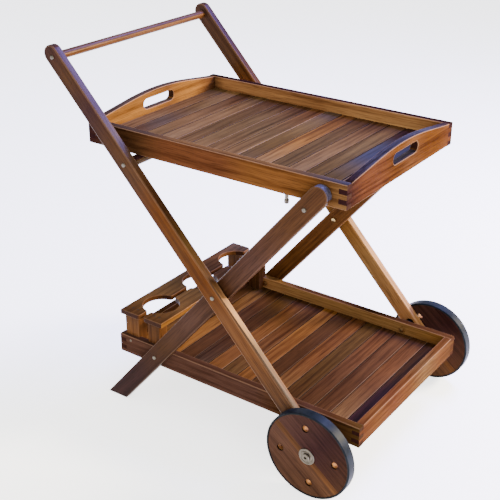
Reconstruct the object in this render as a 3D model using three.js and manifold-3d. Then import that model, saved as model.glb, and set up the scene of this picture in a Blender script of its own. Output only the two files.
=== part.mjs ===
// Serving trolley: a slatted lower shelf and a lift-off slatted tray, carried by two long arms that end
// at the wheels and by two legs that cross them. Millimetres.
//
// The pieces are drawn as in a side elevation: x runs forward to the wheels, y runs up from the floor and
// z runs out to the right-hand side. The last group turns that drawing so that the trolley stands on +Z.

import * as THREE from "three";
import { mergeVertices } from "three/addons/utils/BufferGeometryUtils.js";
import Module from "manifold-3d";

const wasm = await Module();
wasm.setup();

// Clearances and shared values
const seatGap = 0.3;
const boreClearance = 0.3;
const liftClearance = 0.8;
const overrun = 2;
const roundSteps = 24;
const boltSteps = 16;
const curveSteps = 12;
const armEndSteps = 6;
const plankSteps = 7;
const edgeSteps = 2;
const halfTurn = Math.PI;
const quarterTurn = Math.PI / 2;
const degree = Math.PI / 180;

// Wheels
const wheelRadius = 99;
const wheelWidth = 23;
const wheelArmGap = 1.1;
const tyreThickness = 4;
const tyreShoulder = 1.6;
const discWidth = 21.4;
const discEdge = 1.2;
const wheelHoleRadius = 8.2;
const wheelHoleCircle = 64.7;
const wheelHoleCount = 4;
const wheelTurn = { right: -5.1 * degree, left: -26 * degree };
const hubCapRadius = 18.5;
const hubCapThickness = 2.4;
const hubCapEdge = 0.8;
const axleRadius = 5;
const axleHeadRadius = 9;
const axleHeadHeight = 3.2;
const axleHeadShares = [
  [1, 0],
  [1, 0.6],
  [0.85, 1],
  [0, 1],
];
const axleSocketRadius = 3.6;
const axleSocketDepth = 2.4;
const axleNutRadius = 8.5;
const axleNutHeight = 8;
const axleWasherRadius = 14;

// Arms: from the axle back and up to the handle bar
const armLean = 47.05 * degree;
const armWidth = 38;
const armThickness = 19.5;
const armEdge = 3;
const armCrossing = 371;
const armHandleBar = 970;
const armTopReach = 978;

// Legs: crossing the arms, forward and up to the tray, back and down to the floor
const legLean = 49.98 * degree;
const legWidth = 42;
const legThickness = 18.5;
const legEdge = 2.5;
const legTopReach = 357;

// Round bars and the sockets that hold their ends
const handleBarRadius = 9;
const trayBarRadius = 11;
const socketDepth = 8;

// Bolts, nuts and spacers
const boltRadius = 3;
const boltHeadRadius = 5;
const boltHeadHeight = 2.6;
const boltHold = 24;
const nutRadius = 6;
const nutHeight = 5;
const nutDome = 1.6;
const boltHeadShares = [
  [1, 0],
  [0.82, 0.72],
  [0, 1],
];
const nutHeadShares = [
  [1, 0],
  [0.92, 0.76],
  [0, 1],
];
const spacerRadius = 12;
const washerRadius = 12;
const washerThickness = 2;

// Boards shared by the tray and the shelf
const boardThickness = 17;
const fingerCount = 5;
const slatCount = 15;
const slatGap = 1.4;
const slatThickness = 10;
const slatArris = 1;
const deckDrop = 28.6;
const battenWidth = 14;
const battenHeight = 8;
const battenSink = 1;

// Tray
const trayLength = 640;
const trayWidth = 440;
const trayRailHeight = 49.5;
const trayFront = 27.6;
const trayBottom = 623.1;
const archRise = 21.5;
const archCrownPull = 80;
const archShoulderPull = 60;
const archShoulderRise = 6;
const slotLength = 105;
const slotHeight = 24;
const slotCentreHeight = 43.8;
const slotShift = 7;
const pinRadius = 3.8;
const pinEndRadius = 5;
const pinEndLength = 7;
const pinShoulder = 3;
const pinDome = 1.8;
const pinDrop = 21;
const pinHold = 12;
const pinSetback = 135;

// Lower shelf
const shelfLength = 641;
const shelfWidth = 441;
const shelfRailHeight = 46.7;
const shelfFrontShare = 0.511;
const shelfBottom = 116;
const armBoltShare = 0.615;
const legBoltShare = 0.683;

// Bottle holder on the rear of the shelf
const plankWidth = 56;
const plankGap = 10;
const plankLength = 436.6;
const plankThickness = 12;
const plankTop = 227.2;
const plankOverhang = 3.6;
const plankEndRound = 9;
const bottleRadius = 43;
const bottleShoulder = 6;
const bottlePitch = 146;
const bottleCount = 3;
const postWidth = 33;
const postDepth = 20;
const postRebate = 9;
const rearPostInset = 14;
const rearPostOverhang = 6;
const frontPostInset = 10;

// Places worked out from the sizes above
const axleHeight = wheelRadius;
const armTopX = armTopReach * Math.cos(armLean) + armWidth / 2;
const axleX = (armTopX - wheelRadius) / 2;
const shelfHalf = shelfWidth / 2;
const legInner = Math.max(shelfHalf + seatGap, trayWidth / 2 + liftClearance);
const legOuter = legInner + legThickness;
const armInner = legOuter + washerThickness + 2 * seatGap;
const armOuter = armInner + armThickness;
const wheelInner = armOuter + wheelArmGap;
const wheelOuter = wheelInner + wheelWidth;
const discInner = wheelInner + (wheelWidth - discWidth) / 2;
const discOuter = discInner + discWidth;
const discRadius = wheelRadius - tyreThickness;
const crossing = new THREE.Vector2(
  axleX - armCrossing * Math.cos(armLean),
  axleHeight + armCrossing * Math.sin(armLean),
);
const trayBarHeight = trayBottom - seatGap - trayBarRadius;
const armTrayBar = (trayBarHeight - axleHeight) / Math.sin(armLean);
const legTrayBar = (trayBarHeight - crossing.y) / Math.sin(legLean);
const legFootReach = crossing.y / Math.sin(legLean);
const armShelfBolt = (shelfBottom + shelfRailHeight * armBoltShare - axleHeight) / Math.sin(armLean);
const legShelfBolt = (crossing.y - shelfBottom - shelfRailHeight * legBoltShare) / Math.sin(legLean);
const shelfBoltPlace = new THREE.Vector2(
  axleX - armShelfBolt * Math.cos(armLean),
  axleHeight + armShelfBolt * Math.sin(armLean),
);
const legBoltPlace = new THREE.Vector2(
  crossing.x - legShelfBolt * Math.cos(legLean),
  crossing.y - legShelfBolt * Math.sin(legLean),
);
const shelfInnerFace = shelfHalf - boardThickness;
const shelfOverhang = shelfLength - (shelfBoltPlace.x - legBoltPlace.x);
const shelfRearX = legBoltPlace.x - shelfOverhang * (1 - shelfFrontShare);
const shelfTop = shelfBottom + shelfRailHeight;
const shelfDeckTop = shelfTop - deckDrop;
const rearPlankX = shelfRearX + plankOverhang + plankWidth / 2;
const frontPlankX = rearPlankX + plankWidth + plankGap;
const postHeadHalf = shelfInnerFace - seatGap + postRebate;

const sides = [
  { name: "right", sign: 1 },
  { name: "left", sign: -1 },
];

// Finishes, by the tone that each piece has in the trolley
function timber(colour) {
  return new THREE.MeshStandardMaterial({ color: colour, roughness: 0.38, metalness: 0 });
}
const finishes = {
  brown: timber(0x7a4524),
  dark: timber(0x532c20),
  golden: timber(0xa8692c),
  red: timber(0x8a4c2b),
  steel: new THREE.MeshStandardMaterial({ color: 0xb9b7b0, roughness: 0.3, metalness: 1 }),
  brass: new THREE.MeshStandardMaterial({ color: 0xb98d4a, roughness: 0.35, metalness: 1 }),
  rubber: new THREE.MeshStandardMaterial({ color: 0x1d2026, roughness: 0.6, metalness: 0 }),
};

// Boolean work: a closed geometry becomes a solid, and a solid becomes a geometry again
function solidOf(geometry) {
  const bare = geometry.index ? geometry.toNonIndexed() : geometry.clone();
  bare.deleteAttribute("normal");
  bare.deleteAttribute("uv");
  const merged = mergeVertices(bare, 1e-4);
  return new wasm.Manifold(
    new wasm.Mesh({
      numProp: 3,
      vertProperties: new Float32Array(merged.attributes.position.array),
      triVerts: new Uint32Array(merged.index.array),
    }),
  );
}

function geometryOf(solid) {
  const mesh = solid.getMesh();
  const geometry = new THREE.BufferGeometry();
  geometry.setAttribute("position", new THREE.BufferAttribute(new Float32Array(mesh.vertProperties), 3));
  geometry.setIndex(new THREE.BufferAttribute(new Uint32Array(mesh.triVerts), 1));
  geometry.computeVertexNormals();
  return geometry;
}

function cut(geometry, tools) {
  let solid = solidOf(geometry);
  for (const tool of tools) {
    solid = solid.subtract(solidOf(tool));
  }
  return geometryOf(solid);
}

function join(geometries) {
  let solid = solidOf(geometries[0]);
  for (const geometry of geometries.slice(1)) {
    solid = solid.add(solidOf(geometry));
  }
  return geometryOf(solid);
}

function mesh(name, geometry, finish) {
  const piece = new THREE.Mesh(geometry, finish);
  piece.name = name;
  return piece;
}

// A board: an outline in x and y, given its thickness about z = 0, with rounded edges where edge is set
function board(outline, thickness, edge = 0, steps = curveSteps, roundings = edgeSteps) {
  const geometry = new THREE.ExtrudeGeometry(outline, {
    depth: thickness - 2 * edge,
    bevelEnabled: edge > 0,
    bevelThickness: edge,
    bevelSize: edge,
    bevelOffset: -edge,
    bevelSegments: roundings,
    curveSegments: steps,
  });
  return geometry.translate(0, 0, edge - thickness / 2);
}

// A round rod along z, from one place to the other
function rod(radius, x, y, from, to, steps = roundSteps) {
  const geometry = new THREE.CylinderGeometry(radius, radius, Math.abs(to - from), steps);
  return geometry.rotateX(quarterTurn).translate(x, y, (from + to) / 2);
}

// A turned piece about z, from a profile of radius and distance along z
function turned(profile, steps) {
  const points = profile.map(([radius, along]) => new THREE.Vector2(radius, along));
  return new THREE.LatheGeometry(points, steps).rotateX(quarterTurn);
}

// A profile given as shares of a piece's radius and height
function profileOf(shares, radius, height) {
  return shares.map(([acrossShare, upShare]) => [radius * acrossShare, height * upShare]);
}

// Hardware. Each piece is turned with its seat at z = 0 and its head or cap towards +z
function boltGeometry(reach) {
  const shank = [
    [0, -reach],
    [boltRadius, -reach],
    [boltRadius, 0],
  ];
  return turned([...shank, ...profileOf(boltHeadShares, boltHeadRadius, boltHeadHeight)], boltSteps);
}

function capNutGeometry(threadDepth) {
  return turned(
    [
      [0, threadDepth + boreClearance],
      [boltRadius + boreClearance, threadDepth + boreClearance],
      [boltRadius + boreClearance, 0],
      ...profileOf(nutHeadShares, nutRadius, nutHeight),
    ],
    boltSteps,
  );
}

// A piece of hardware on one side: it faces outwards, or inwards where a nut closes a bolt from inside
function hardware(name, geometry, finish, x, y, z, facing) {
  const piece = mesh(name, geometry, finish);
  piece.position.set(x, y, z);
  if (facing < 0) {
    piece.rotation.y = halfTurn;
  }
  return piece;
}

// Arms
function armOutline() {
  const half = armWidth / 2;
  const outline = new THREE.Shape();
  outline.moveTo(0, -half);
  outline.lineTo(armTopReach, -half);
  outline.absarc(armTopReach, 0, half, -quarterTurn, quarterTurn, false);
  outline.lineTo(0, half);
  outline.absarc(0, 0, half, quarterTurn, quarterTurn + halfTurn, false);
  return outline;
}

function armPiece(side) {
  const middle = side.sign * (armInner + armThickness / 2);
  const inner = side.sign * (armInner - overrun);
  const outer = side.sign * (armOuter + overrun);
  const socketFloor = side.sign * (armInner + socketDepth);
  const counterbore = side.sign * (armOuter - boltHeadHeight - seatGap);
  const drill = boltRadius + boreClearance;
  const tools = [
    rod(axleRadius + boreClearance, 0, 0, inner, outer),
    rod(drill, armShelfBolt, 0, inner, outer, boltSteps),
    rod(boltHeadRadius + boreClearance, armShelfBolt, 0, counterbore, outer, boltSteps),
    rod(drill, armCrossing, 0, inner, outer, boltSteps),
    rod(drill, armTrayBar, 0, inner, outer, boltSteps),
    rod(trayBarRadius + boreClearance, armTrayBar, 0, inner, socketFloor),
    rod(drill, armHandleBar, 0, inner, outer, boltSteps),
    rod(handleBarRadius + boreClearance, armHandleBar, 0, inner, socketFloor),
  ];
  const blank = board(armOutline(), armThickness, armEdge, armEndSteps).translate(0, 0, middle);
  return mesh(`arm_${side.name}`, cut(blank, tools), finishes.brown);
}

// Legs: drawn along x from the crossing, with the foot cut level with the floor
function legOutline() {
  const half = legWidth / 2;
  const footShift = half / Math.tan(legLean);
  const outline = new THREE.Shape();
  outline.moveTo(-legFootReach - footShift, half);
  outline.lineTo(-legFootReach + footShift, -half);
  outline.lineTo(legTopReach, -half);
  outline.absarc(legTopReach, 0, half, -quarterTurn, quarterTurn, false);
  return outline;
}

function legPiece(side) {
  const middle = side.sign * (legInner + legThickness / 2);
  const inner = side.sign * (legInner - overrun);
  const outer = side.sign * (legOuter + overrun);
  const socketFloor = side.sign * (legInner + socketDepth);
  const drill = boltRadius + boreClearance;
  const tools = [
    rod(drill, 0, 0, inner, outer, boltSteps),
    rod(drill, -legShelfBolt, 0, inner, outer, boltSteps),
    rod(drill, legTrayBar, 0, inner, outer, boltSteps),
    rod(trayBarRadius + boreClearance, legTrayBar, 0, inner, socketFloor),
  ];
  const blank = board(legOutline(), legThickness, legEdge, armEndSteps).translate(0, 0, middle);
  return mesh(`leg_${side.name}`, cut(blank, tools), finishes.dark);
}

// Round bars between two arms or two legs, drilled at both ends for their bolts
function barPiece(name, radius, x, y, seat, finish) {
  const end = seat + socketDepth - seatGap;
  const tools = sides.map((side) =>
    rod(
      boltRadius + boreClearance,
      x,
      y,
      side.sign * (end + overrun),
      side.sign * (end - boltHold - boreClearance),
      boltSteps,
    ),
  );
  return mesh(name, cut(rod(radius, x, y, -end, end), tools), finish);
}

function barBolt(name, x, y, face, seat, side) {
  const head = face + seatGap;
  const reach = head - (seat + socketDepth - seatGap - boltHold);
  const geometry = boltGeometry(reach);
  return hardware(name, geometry, finishes.steel, x, y, side.sign * head, side.sign);
}

// A through bolt whose head lies against one face and whose cap nut lies against another, further in
function throughBolt(name, x, y, headFace, nutFace, side) {
  const head = headFace + seatGap;
  const reach = head - nutFace + seatGap + nutHeight - nutDome - seatGap;
  const pieces = new THREE.Group();
  pieces.add(
    hardware(
      `${name}_bolt_${side.name}`,
      boltGeometry(reach),
      finishes.steel,
      x,
      y,
      side.sign * head,
      side.sign,
    ),
    hardware(
      `${name}_nut_${side.name}`,
      capNutGeometry(nutHeight - nutDome - seatGap),
      finishes.brass,
      x,
      y,
      side.sign * (nutFace - seatGap),
      -side.sign,
    ),
  );
  return pieces;
}

// Wheels
function wheelDisc(side) {
  const outline = new THREE.Shape();
  outline.absarc(0, 0, discRadius, 0, 2 * halfTurn, false);
  const tools = [rod(axleRadius + boreClearance, 0, 0, -discWidth, discWidth)];
  for (let hole = 0; hole < wheelHoleCount; hole += 1) {
    const turn = wheelTurn[side.name] + (hole * 2 * halfTurn) / wheelHoleCount;
    const x = wheelHoleCircle * Math.sin(turn);
    const y = wheelHoleCircle * Math.cos(turn);
    tools.push(rod(wheelHoleRadius, x, y, -discWidth, discWidth, boltSteps));
  }
  const blank = board(outline, discWidth, discEdge, roundSteps, 1);
  return mesh(`wheel_disc_${side.name}`, cut(blank, tools), finishes.dark);
}

function wheelTyre(side) {
  const half = wheelWidth / 2;
  const inside = discRadius + seatGap;
  const profile = [
    [inside, -half],
    [wheelRadius - tyreShoulder, -half],
    [wheelRadius, -half + tyreShoulder],
    [wheelRadius, half - tyreShoulder],
    [wheelRadius - tyreShoulder, half],
    [inside, half],
    [inside, -half],
  ];
  return mesh(`tyre_${side.name}`, turned(profile, 2 * roundSteps), finishes.rubber);
}

function hubCap() {
  return turned(
    [
      [axleRadius + boreClearance, 0],
      [hubCapRadius, 0],
      [hubCapRadius, hubCapThickness - hubCapEdge],
      [hubCapRadius - hubCapEdge, hubCapThickness],
      [axleRadius + boreClearance, hubCapThickness],
      [axleRadius + boreClearance, 0],
    ],
    roundSteps,
  );
}

function axleBolt() {
  const head = discOuter + seatGap + hubCapThickness + seatGap;
  const reach = head - (armInner - seatGap - axleNutHeight);
  const blank = turned(
    [
      [0, -reach],
      [axleRadius, -reach],
      [axleRadius, 0],
      ...profileOf(axleHeadShares, axleHeadRadius, axleHeadHeight),
    ],
    roundSteps,
  );
  const key = new THREE.CylinderGeometry(axleSocketRadius, axleSocketRadius, 2 * axleSocketDepth, 6);
  key.rotateX(quarterTurn).translate(0, 0, axleHeadHeight);
  return cut(blank, [key]);
}

function axleNut() {
  const blank = new THREE.CylinderGeometry(axleNutRadius, axleNutRadius, axleNutHeight, 6);
  blank.rotateX(quarterTurn).translate(0, 0, axleNutHeight / 2);
  return cut(blank, [rod(axleRadius + boreClearance, 0, 0, -overrun, axleNutHeight + overrun)]);
}

// Box-jointed boards. A corner is split into equal fingers: the rails keep the odd ones and the end
// boards the even ones, and each finger is slimmer than its gap by the seat gap.
function fingerBand(height, index) {
  return { from: (height * index) / fingerCount, to: (height * (index + 1)) / fingerCount };
}

function railOutline(length, height) {
  const half = length / 2;
  const notch = boardThickness + seatGap;
  const outline = new THREE.Shape();
  outline.moveTo(-half, 0);
  outline.lineTo(half, 0);
  for (let index = 1; index < fingerCount; index += 2) {
    const band = fingerBand(height, index);
    outline.lineTo(half, band.from);
    outline.lineTo(half - notch, band.from);
    outline.lineTo(half - notch, band.to);
    outline.lineTo(half, band.to);
  }
  outline.lineTo(half, height);
  outline.lineTo(-half, height);
  for (let index = fingerCount - 2; index > 0; index -= 2) {
    const band = fingerBand(height, index);
    outline.lineTo(-half, band.to);
    outline.lineTo(-half + notch, band.to);
    outline.lineTo(-half + notch, band.from);
    outline.lineTo(-half, band.from);
  }
  return outline;
}

function endFingers(outline, half, height, direction) {
  const inside = half - boardThickness - seatGap;
  const bands = [];
  for (let index = 1; index < fingerCount; index += 2) {
    bands.push(fingerBand(height, index));
  }
  const ordered = direction > 0 ? bands : bands.reverse();
  for (const band of ordered) {
    const first = direction > 0 ? band.from + seatGap : band.to - seatGap;
    const last = direction > 0 ? band.to - seatGap : band.from + seatGap;
    outline.lineTo(direction * inside, first);
    outline.lineTo(direction * half, first);
    outline.lineTo(direction * half, last);
    outline.lineTo(direction * inside, last);
  }
}

function flatEndOutline(width, height) {
  const half = width / 2;
  const inside = half - boardThickness - seatGap;
  const outline = new THREE.Shape();
  outline.moveTo(-inside, 0);
  outline.lineTo(inside, 0);
  endFingers(outline, half, height, 1);
  outline.lineTo(inside, height);
  outline.lineTo(-inside, height);
  endFingers(outline, half, height, -1);
  return outline;
}

function archedEndOutline(width, height, slotMiddle) {
  const half = width / 2;
  const inside = half - boardThickness - seatGap;
  const crown = height + archRise;
  const outline = new THREE.Shape();
  outline.moveTo(-inside, 0);
  outline.lineTo(inside, 0);
  endFingers(outline, half, height, 1);
  outline.lineTo(inside, height);
  const shoulder = inside - archShoulderPull;
  const shoulderHeight = height + archShoulderRise;
  outline.bezierCurveTo(shoulder, shoulderHeight, archCrownPull, crown, 0, crown);
  outline.bezierCurveTo(-archCrownPull, crown, -shoulder, shoulderHeight, -inside, height);
  endFingers(outline, half, height, -1);
  outline.holes.push(handSlot(slotMiddle));
  return outline;
}

function handSlot(middle) {
  const radius = slotHeight / 2;
  const reach = slotLength / 2 - radius;
  const slot = new THREE.Path();
  slot.moveTo(middle - reach, slotCentreHeight - radius);
  slot.absarc(middle - reach, slotCentreHeight, radius, -quarterTurn, quarterTurn, true);
  slot.lineTo(middle + reach, slotCentreHeight + radius);
  slot.absarc(middle + reach, slotCentreHeight, radius, quarterTurn, -quarterTurn, true);
  return slot;
}

// A slatted deck: slats across the trolley with gaps between them, on two battens along the rails
function slatOutline(width) {
  const half = width / 2;
  const outline = new THREE.Shape();
  outline.moveTo(-half, -slatThickness);
  outline.lineTo(half, -slatThickness);
  outline.lineTo(half, -slatArris);
  outline.lineTo(half - slatArris, 0);
  outline.lineTo(-half + slatArris, 0);
  outline.lineTo(-half, -slatArris);
  return outline;
}

function deckGeometry(length, width) {
  const innerLength = length - 2 * boardThickness - 2 * seatGap;
  const innerWidth = width - 2 * boardThickness - 2 * seatGap;
  const pitch = (innerLength + slatGap) / slatCount;
  const pieces = [];
  for (let index = 0; index < slatCount; index += 1) {
    const x = -innerLength / 2 + pitch * index + (pitch - slatGap) / 2;
    pieces.push(board(slatOutline(pitch - slatGap), innerWidth).translate(x, 0, 0));
  }
  for (const side of sides) {
    const batten = new THREE.BoxGeometry(innerLength, battenHeight + battenSink, battenWidth);
    const y = -slatThickness - battenHeight / 2 + battenSink / 2;
    pieces.push(batten.translate(0, y, side.sign * (innerWidth / 2 - battenWidth / 2)));
  }
  return join(pieces);
}

// The tray, drawn about the middle of its length with y = 0 at the underside of its rails
function trayGroup() {
  const tray = new THREE.Group();
  tray.position.set(axleX + trayFront - trayLength / 2, trayBottom, 0);
  const railFace = trayWidth / 2 - boardThickness / 2;
  const endFace = trayLength / 2 - boardThickness / 2;
  const pinX = trayLength / 2 - pinSetback;
  for (const side of sides) {
    const railBlank = board(railOutline(trayLength, trayRailHeight), boardThickness);
    const pinHole = new THREE.CylinderGeometry(
      pinRadius + boreClearance,
      pinRadius + boreClearance,
      pinHold + boreClearance + overrun,
      boltSteps,
    );
    pinHole.translate(pinX, (pinHold + boreClearance - overrun) / 2, 0);
    const rail = mesh(`tray_rail_${side.name}`, cut(railBlank, [pinHole]), finishes.brown);
    rail.position.z = side.sign * railFace;
    const pin = mesh(`tray_pin_${side.name}`, trayPin(), finishes.brass);
    pin.position.set(pinX, 0, side.sign * railFace);
    tray.add(rail, pin);
  }
  for (const end of [
    { name: "tray_end_front", sign: 1, finish: finishes.red },
    { name: "tray_end_rear", sign: -1, finish: finishes.golden },
  ]) {
    const outline = archedEndOutline(trayWidth, trayRailHeight, end.sign * slotShift);
    const piece = mesh(end.name, board(outline, boardThickness), end.finish);
    piece.position.x = end.sign * endFace;
    piece.rotation.y = quarterTurn;
    tray.add(piece);
  }
  const deck = mesh("tray_deck", deckGeometry(trayLength, trayWidth), finishes.brown);
  deck.position.y = trayRailHeight - deckDrop;
  tray.add(deck);
  return tray;
}

function trayPin() {
  const endTop = -pinDrop + pinEndLength;
  const points = [
    [0, -pinDrop],
    [pinEndRadius - pinDome, -pinDrop],
    [pinEndRadius, -pinDrop + pinDome],
    [pinEndRadius, endTop],
    [pinRadius, endTop + pinShoulder],
    [pinRadius, pinHold],
    [0, pinHold],
  ];
  return new THREE.LatheGeometry(
    points.map(([radius, along]) => new THREE.Vector2(radius, along)),
    boltSteps,
  );
}

// The lower shelf, drawn as the tray is, with its bolts' holes through the rails
function shelfGroup() {
  const shelf = new THREE.Group();
  const middleX = shelfRearX + shelfLength / 2;
  shelf.position.set(middleX, shelfBottom, 0);
  const railFace = shelfHalf - boardThickness / 2;
  const endFace = shelfLength / 2 - boardThickness / 2;
  for (const side of sides) {
    const blank = board(railOutline(shelfLength, shelfRailHeight), boardThickness);
    const tools = [shelfBoltPlace, legBoltPlace].map((place) =>
      rod(
        boltRadius + boreClearance,
        place.x - middleX,
        place.y - shelfBottom,
        -boardThickness,
        boardThickness,
        boltSteps,
      ),
    );
    const rail = mesh(`shelf_rail_${side.name}`, cut(blank, tools), finishes.dark);
    rail.position.z = side.sign * railFace;
    shelf.add(rail);
  }
  for (const end of [
    { name: "shelf_end_front", sign: 1, finish: finishes.red },
    { name: "shelf_end_rear", sign: -1, finish: finishes.dark },
  ]) {
    const blank = board(flatEndOutline(shelfWidth, shelfRailHeight), boardThickness);
    const piece = mesh(end.name, blank, end.finish);
    piece.position.x = end.sign * endFace;
    piece.rotation.y = quarterTurn;
    shelf.add(piece);
  }
  const deck = mesh("shelf_deck", deckGeometry(shelfLength, shelfWidth), finishes.brown);
  deck.position.y = shelfRailHeight - deckDrop;
  shelf.add(deck);
  return shelf;
}

// Bottle holder: two planks with facing half-round cut-outs, on four posts rebated over the shelf's edge
function plankOutline(facing) {
  const halfLength = plankLength / 2;
  const edge = (facing * plankWidth) / 2;
  const outline = new THREE.Shape();
  outline.moveTo(-edge, halfLength);
  outline.lineTo(-edge, -halfLength);
  outline.lineTo(edge - facing * plankEndRound, -halfLength);
  outline.quadraticCurveTo(edge, -halfLength, edge, -halfLength + plankEndRound);
  for (let index = 0; index < bottleCount; index += 1) {
    bottleBite(outline, edge, facing, (index - (bottleCount - 1) / 2) * bottlePitch);
  }
  outline.lineTo(edge, halfLength - plankEndRound);
  outline.quadraticCurveTo(edge, halfLength, edge - facing * plankEndRound, halfLength);
  return outline;
}

// One bottle's bite out of a plank's edge: a round shoulder, most of a half circle and a round shoulder
function bottleBite(outline, edge, facing, middle) {
  const inset = plankGap / 2 + bottleShoulder;
  const spread = Math.sqrt((bottleRadius + bottleShoulder) ** 2 - inset ** 2);
  const shoulderX = edge - facing * bottleShoulder;
  const circleX = edge + (facing * plankGap) / 2;
  const straight = facing > 0 ? 0 : halfTurn;
  const turnIn = Math.atan2(spread, facing * inset);
  const turnBack = Math.atan2(spread, -facing * inset);
  outline.absarc(shoulderX, middle - spread, bottleShoulder, straight, turnIn, facing < 0);
  outline.absarc(circleX, middle, bottleRadius, -turnBack, turnBack, facing > 0);
  outline.absarc(shoulderX, middle + spread, bottleShoulder, -turnIn, straight, facing < 0);
}

function plankPiece(name, x, facing) {
  const geometry = board(plankOutline(facing), plankThickness, 0, plankSteps);
  const plank = mesh(name, geometry, finishes.dark);
  plank.rotation.x = quarterTurn;
  plank.position.set(x, plankTop - plankThickness / 2, 0);
  return plank;
}

function postPiece(name, x, side, overhang) {
  const foot = shelfDeckTop + seatGap;
  const plankSeat = plankTop - plankThickness - seatGap;
  const shoulder = shelfTop + seatGap;
  const inner = shelfInnerFace - seatGap - postDepth;
  const outline = new THREE.Shape();
  outline.moveTo(inner, foot);
  outline.lineTo(shelfInnerFace - seatGap, foot);
  outline.lineTo(shelfInnerFace - seatGap, shoulder);
  outline.lineTo(postHeadHalf, shoulder);
  outline.lineTo(postHeadHalf, plankSeat);
  outline.lineTo(inner, plankSeat);
  const turn = side.sign > 0 ? -quarterTurn : quarterTurn;
  const blank = board(outline, postWidth).rotateY(turn).translate(x, 0, 0);
  if (overhang === 0) {
    return mesh(name, blank, finishes.dark);
  }
  const head = new THREE.BoxGeometry(overhang + seatGap, plankSeat - shoulder, postHeadHalf - inner);
  head.translate(
    x - postWidth / 2 - overhang / 2 + seatGap / 2,
    (plankSeat + shoulder) / 2,
    (side.sign * (postHeadHalf + inner)) / 2,
  );
  return mesh(name, join([blank, head]), finishes.dark);
}

function bottleHolderGroup() {
  const holder = new THREE.Group();
  holder.add(
    plankPiece("bottle_plank_rear", rearPlankX, 1),
    plankPiece("bottle_plank_front", frontPlankX, -1),
  );
  const rearPostX = rearPlankX - plankWidth / 2 + rearPostInset + postWidth / 2;
  const frontPostX = frontPlankX - plankWidth / 2 + frontPostInset + postWidth / 2;
  for (const side of sides) {
    holder.add(postPiece(`bottle_post_rear_${side.name}`, rearPostX, side, rearPostOverhang));
    holder.add(postPiece(`bottle_post_front_${side.name}`, frontPostX, side, 0));
  }
  return holder;
}

// The frame: arms and bars turned about the axle, legs turned about the crossing
function armFrame() {
  const frame = new THREE.Group();
  frame.position.set(axleX, axleHeight, 0);
  frame.rotation.z = halfTurn - armLean;
  for (const side of sides) {
    frame.add(
      armPiece(side),
      barBolt(`handle_bolt_${side.name}`, armHandleBar, 0, armOuter, armInner, side),
      barBolt(`rear_bar_bolt_${side.name}`, armTrayBar, 0, armOuter, armInner, side),
    );
  }
  frame.add(
    barPiece("handle_bar", handleBarRadius, armHandleBar, 0, armInner, finishes.red),
    barPiece("rear_tray_bar", trayBarRadius, armTrayBar, 0, armInner, finishes.dark),
  );
  return frame;
}

function legFrame() {
  const frame = new THREE.Group();
  frame.position.set(crossing.x, crossing.y, 0);
  frame.rotation.z = legLean;
  for (const side of sides) {
    frame.add(
      legPiece(side),
      barBolt(`front_bar_bolt_${side.name}`, legTrayBar, 0, legOuter, legInner, side),
    );
  }
  frame.add(barPiece("front_tray_bar", trayBarRadius, legTrayBar, 0, legInner, finishes.dark));
  return frame;
}

function frameHardware() {
  const fixings = new THREE.Group();
  const counterboreFloor = armOuter - boltHeadHeight - 2 * seatGap;
  const shelfSpacer = { radius: spacerRadius, bolt: boltRadius, inner: shelfHalf, outer: armInner };
  const crossingWasher = { radius: washerRadius, bolt: boltRadius, inner: legOuter, outer: armInner };
  for (const side of sides) {
    fixings.add(
      throughBolt("crossing", crossing.x, crossing.y, armOuter, legInner, side),
      throughBolt("leg_shelf", legBoltPlace.x, legBoltPlace.y, legOuter, shelfInnerFace, side),
      throughBolt("arm_shelf", shelfBoltPlace.x, shelfBoltPlace.y, counterboreFloor, shelfInnerFace, side),
      ringPiece(`shelf_spacer_${side.name}`, shelfSpacer, shelfBoltPlace, side, finishes.dark),
      ringPiece(`crossing_washer_${side.name}`, crossingWasher, crossing, side, finishes.steel),
    );
  }
  return fixings;
}

// A washer or spacer that fills the gap between two faces on one side, about a bolt
function ringPiece(name, size, place, side, finish) {
  const length = size.outer - size.inner - 2 * seatGap;
  const blank = rod(size.radius, 0, 0, -length / 2, length / 2);
  const bore = rod(size.bolt + boreClearance, 0, 0, -length, length, boltSteps);
  const ring = mesh(name, cut(blank, [bore]), finish);
  ring.position.set(place.x, place.y, side.sign * ((size.inner + size.outer) / 2));
  return ring;
}

function wheelGroup(side) {
  const wheel = new THREE.Group();
  wheel.position.set(axleX, axleHeight, 0);
  const turning = new THREE.Group();
  turning.position.z = side.sign * ((discInner + discOuter) / 2);
  turning.add(wheelDisc(side), wheelTyre(side));
  const capSeat = discOuter + seatGap;
  const headSeat = capSeat + hubCapThickness + seatGap;
  const hub = new THREE.Vector2();
  const axleWasher = { radius: axleWasherRadius, bolt: axleRadius, inner: armOuter, outer: discInner };
  wheel.add(
    turning,
    ringPiece(`axle_washer_${side.name}`, axleWasher, hub, side, finishes.steel),
    hardware(`hub_cap_${side.name}`, hubCap(), finishes.steel, 0, 0, side.sign * capSeat, side.sign),
    hardware(`axle_bolt_${side.name}`, axleBolt(), finishes.steel, 0, 0, side.sign * headSeat, side.sign),
    hardware(
      `axle_nut_${side.name}`,
      axleNut(),
      finishes.steel,
      0,
      0,
      side.sign * (armInner - seatGap),
      -side.sign,
    ),
  );
  return wheel;
}

const drawing = new THREE.Group();
drawing.add(armFrame(), legFrame(), frameHardware(), trayGroup(), shelfGroup(), bottleHolderGroup());
for (const side of sides) {
  drawing.add(wheelGroup(side));
}
drawing.rotation.x = quarterTurn;

const trolley = new THREE.Group();
trolley.add(drawing);

export default trolley;
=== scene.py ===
"""A wooden serving trolley: lift-off slatted tray, slatted shelf with a bottle holder, two wheels."""

import math

import bmesh
import bpy
from mathutils import Matrix, Vector


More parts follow.
